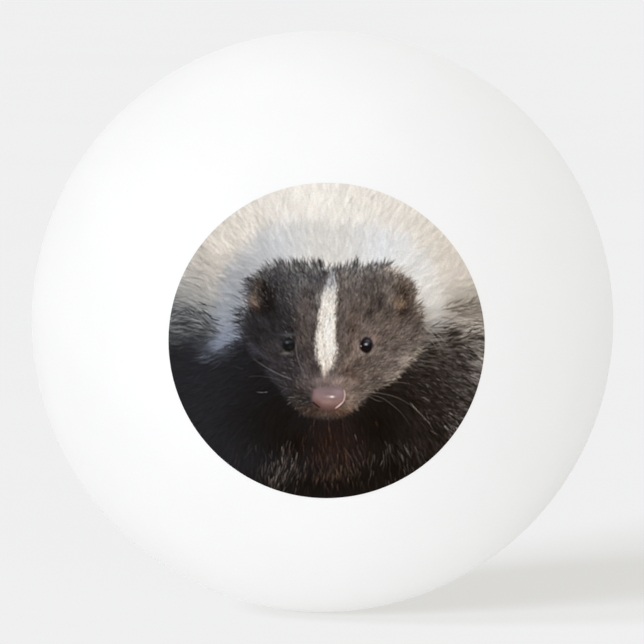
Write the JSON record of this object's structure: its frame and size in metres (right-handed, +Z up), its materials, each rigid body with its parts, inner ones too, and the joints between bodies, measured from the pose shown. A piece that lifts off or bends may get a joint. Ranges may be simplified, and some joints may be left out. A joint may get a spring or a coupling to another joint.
{
  "type": "table tennis ball",
  "caption": "Hollow white plastic ball of half-shells cemented in a stepped lap seam, with a round full-colour animal picture printed on the front.",
  "frame": {"origin": "the centre of the ball", "axes": "+Z is up. Y is the axis that the two half-shells are moulded on: the seam lies in the plane y = 0, the picture is centred on -Y with its top towards +Z, and the plain back is on +Y"},
  "size_m": [0.04, 0.04, 0.04],
  "materials": {
    "shell_plastic": "matte",
    "seam_cement": "satin",
    "picture_ink": "satin"
  },
  "bodies": {
    "root": {"front_half_shell": "shell_plastic", "back_half_shell": "shell_plastic", "seam_cement": "seam_cement", "printed_picture": "picture_ink"}
  },
  "joints": []
}
